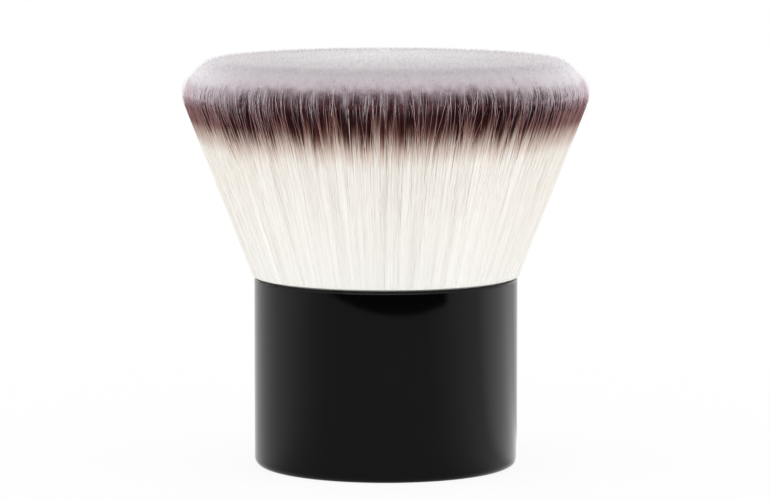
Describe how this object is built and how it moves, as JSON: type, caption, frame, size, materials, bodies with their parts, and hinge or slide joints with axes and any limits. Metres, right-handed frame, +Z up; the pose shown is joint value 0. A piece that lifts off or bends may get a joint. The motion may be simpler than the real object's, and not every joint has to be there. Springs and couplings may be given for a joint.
{
  "type": "kabuki makeup brush",
  "caption": "Short flat-top kabuki makeup brush with a weighted gloss black metal cup handle and a dense, flared head of tri-colour synthetic bristles.",
  "frame": {"origin": "centre of the flat underside of the handle, on the surface the brush stands on", "axes": "+Z up along the brush's axis, from the handle to the bristle tips; the brush is round about Z, so +X and +Y are arbitrary"},
  "size_m": [0.0544, 0.0544, 0.0566],
  "materials": {
    "black_lacquer": "high gloss black lacquer over drawn aluminium",
    "steel": "zinc-plated pressed steel",
    "foam": "matt closed-cell foam",
    "moulded_plastic": "satin moulded",
    "adhesive": "set hot-melt adhesive",
    "ring_metal": "plain mill finish",
    "resin": "clear amber epoxy",
    "thread": "wound cotton thread",
    "bristle": "soft tapered synthetic filament, cream at the root, dark brown in a middle band and pale lilac-white at the tip"
  },
  "bodies": {
    "root": {"handle_shell": "black_lacquer", "base_weight": "steel", "foam_pad": "foam", "core_plug": "moulded_plastic", "glue_ring": "adhesive", "knot_ring": "ring_metal", "root_resin": "resin", "binding_thread": "thread", "bristles_core": "bristle", "bristles_inner": "bristle", "bristles_middle": "bristle", "bristles_outer": "bristle"}
  },
  "joints": []
}
